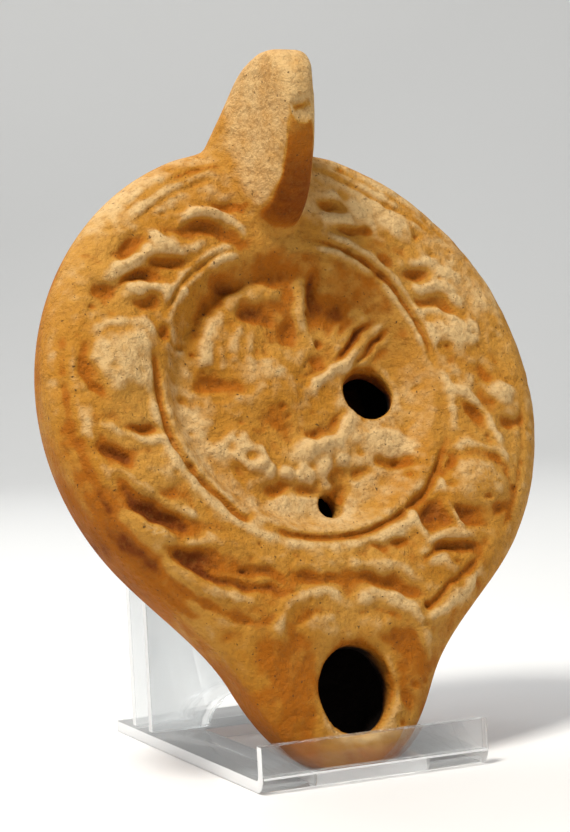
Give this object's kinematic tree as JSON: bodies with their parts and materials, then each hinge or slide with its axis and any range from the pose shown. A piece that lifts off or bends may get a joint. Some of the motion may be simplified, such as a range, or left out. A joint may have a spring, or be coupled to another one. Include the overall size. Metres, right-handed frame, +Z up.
{
  "type": "roman oil lamp",
  "caption": "Moulded clay oil lamp with a relief top, round nozzle and solid fin handle, leaning on a small clear easel.",
  "frame": {"origin": "on the underside of the easel's base plate, below the middle of its upright", "axes": "+Z up, +Y towards the back of the easel, +X to the right of someone facing the lamp's relief"},
  "size_m": [0.0865, 0.0668, 0.1137],
  "materials": {
    "fired_clay": "matt, worn orange-brown slip on pale clay",
    "clear_sheet": "polished clear sheet"
  },
  "bodies": {
    "root": {"lamp": "fired_clay", "stand_tray": "clear_sheet", "stand_upright": "clear_sheet"}
  },
  "joints": []
}
